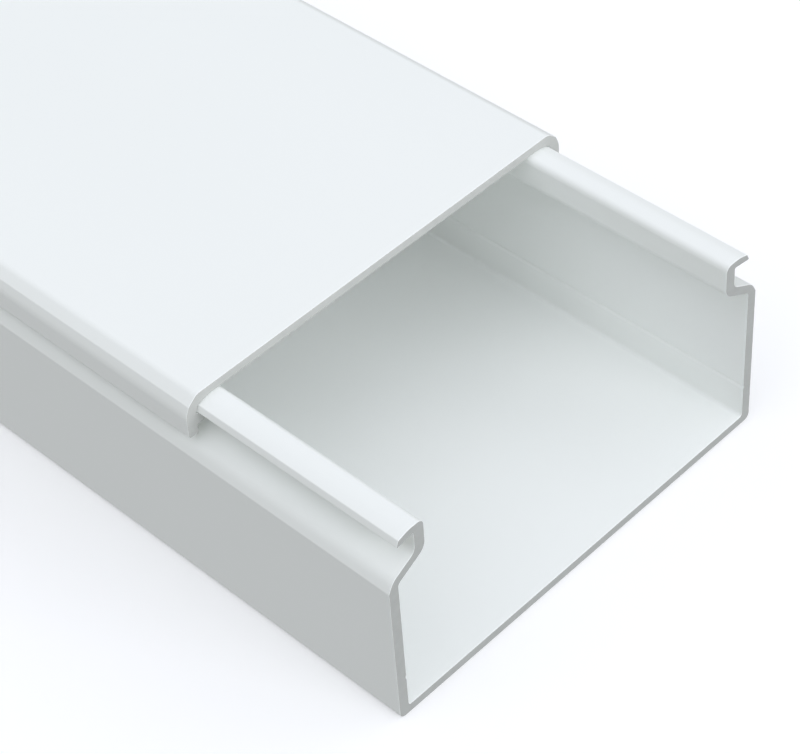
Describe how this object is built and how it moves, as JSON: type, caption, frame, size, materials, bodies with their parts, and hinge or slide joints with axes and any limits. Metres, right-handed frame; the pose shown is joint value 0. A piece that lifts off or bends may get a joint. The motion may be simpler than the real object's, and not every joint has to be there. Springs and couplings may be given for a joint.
{
  "type": "cable trunking",
  "caption": "Length of white plastic cable trunking: an open channel with a rolled clip rim along each wall, covered by a clip-on lid that slides along the rim.",
  "frame": {"origin": "middle of the base's flat back face, at half its length and half its width", "axes": "+X across the width, +Y along the length from the end that the lid leaves open, +Z from the back face out to the lid"},
  "size_m": [0.1, 2.0492, 0.0482],
  "materials": {
    "base_plastic": "satin extruded skin, cool white",
    "lid_plastic": "satin extruded skin, cool white"
  },
  "bodies": {
    "base": {"base": "base_plastic"},
    "lid": {"lid": "lid_plastic"}
  },
  "joints": [
    {"name": "lid_slide", "type": "slide", "parent": "base", "child": "lid", "axis": [0, 1, 0], "range_m": [-0.0492, 1.85]}
  ]
}
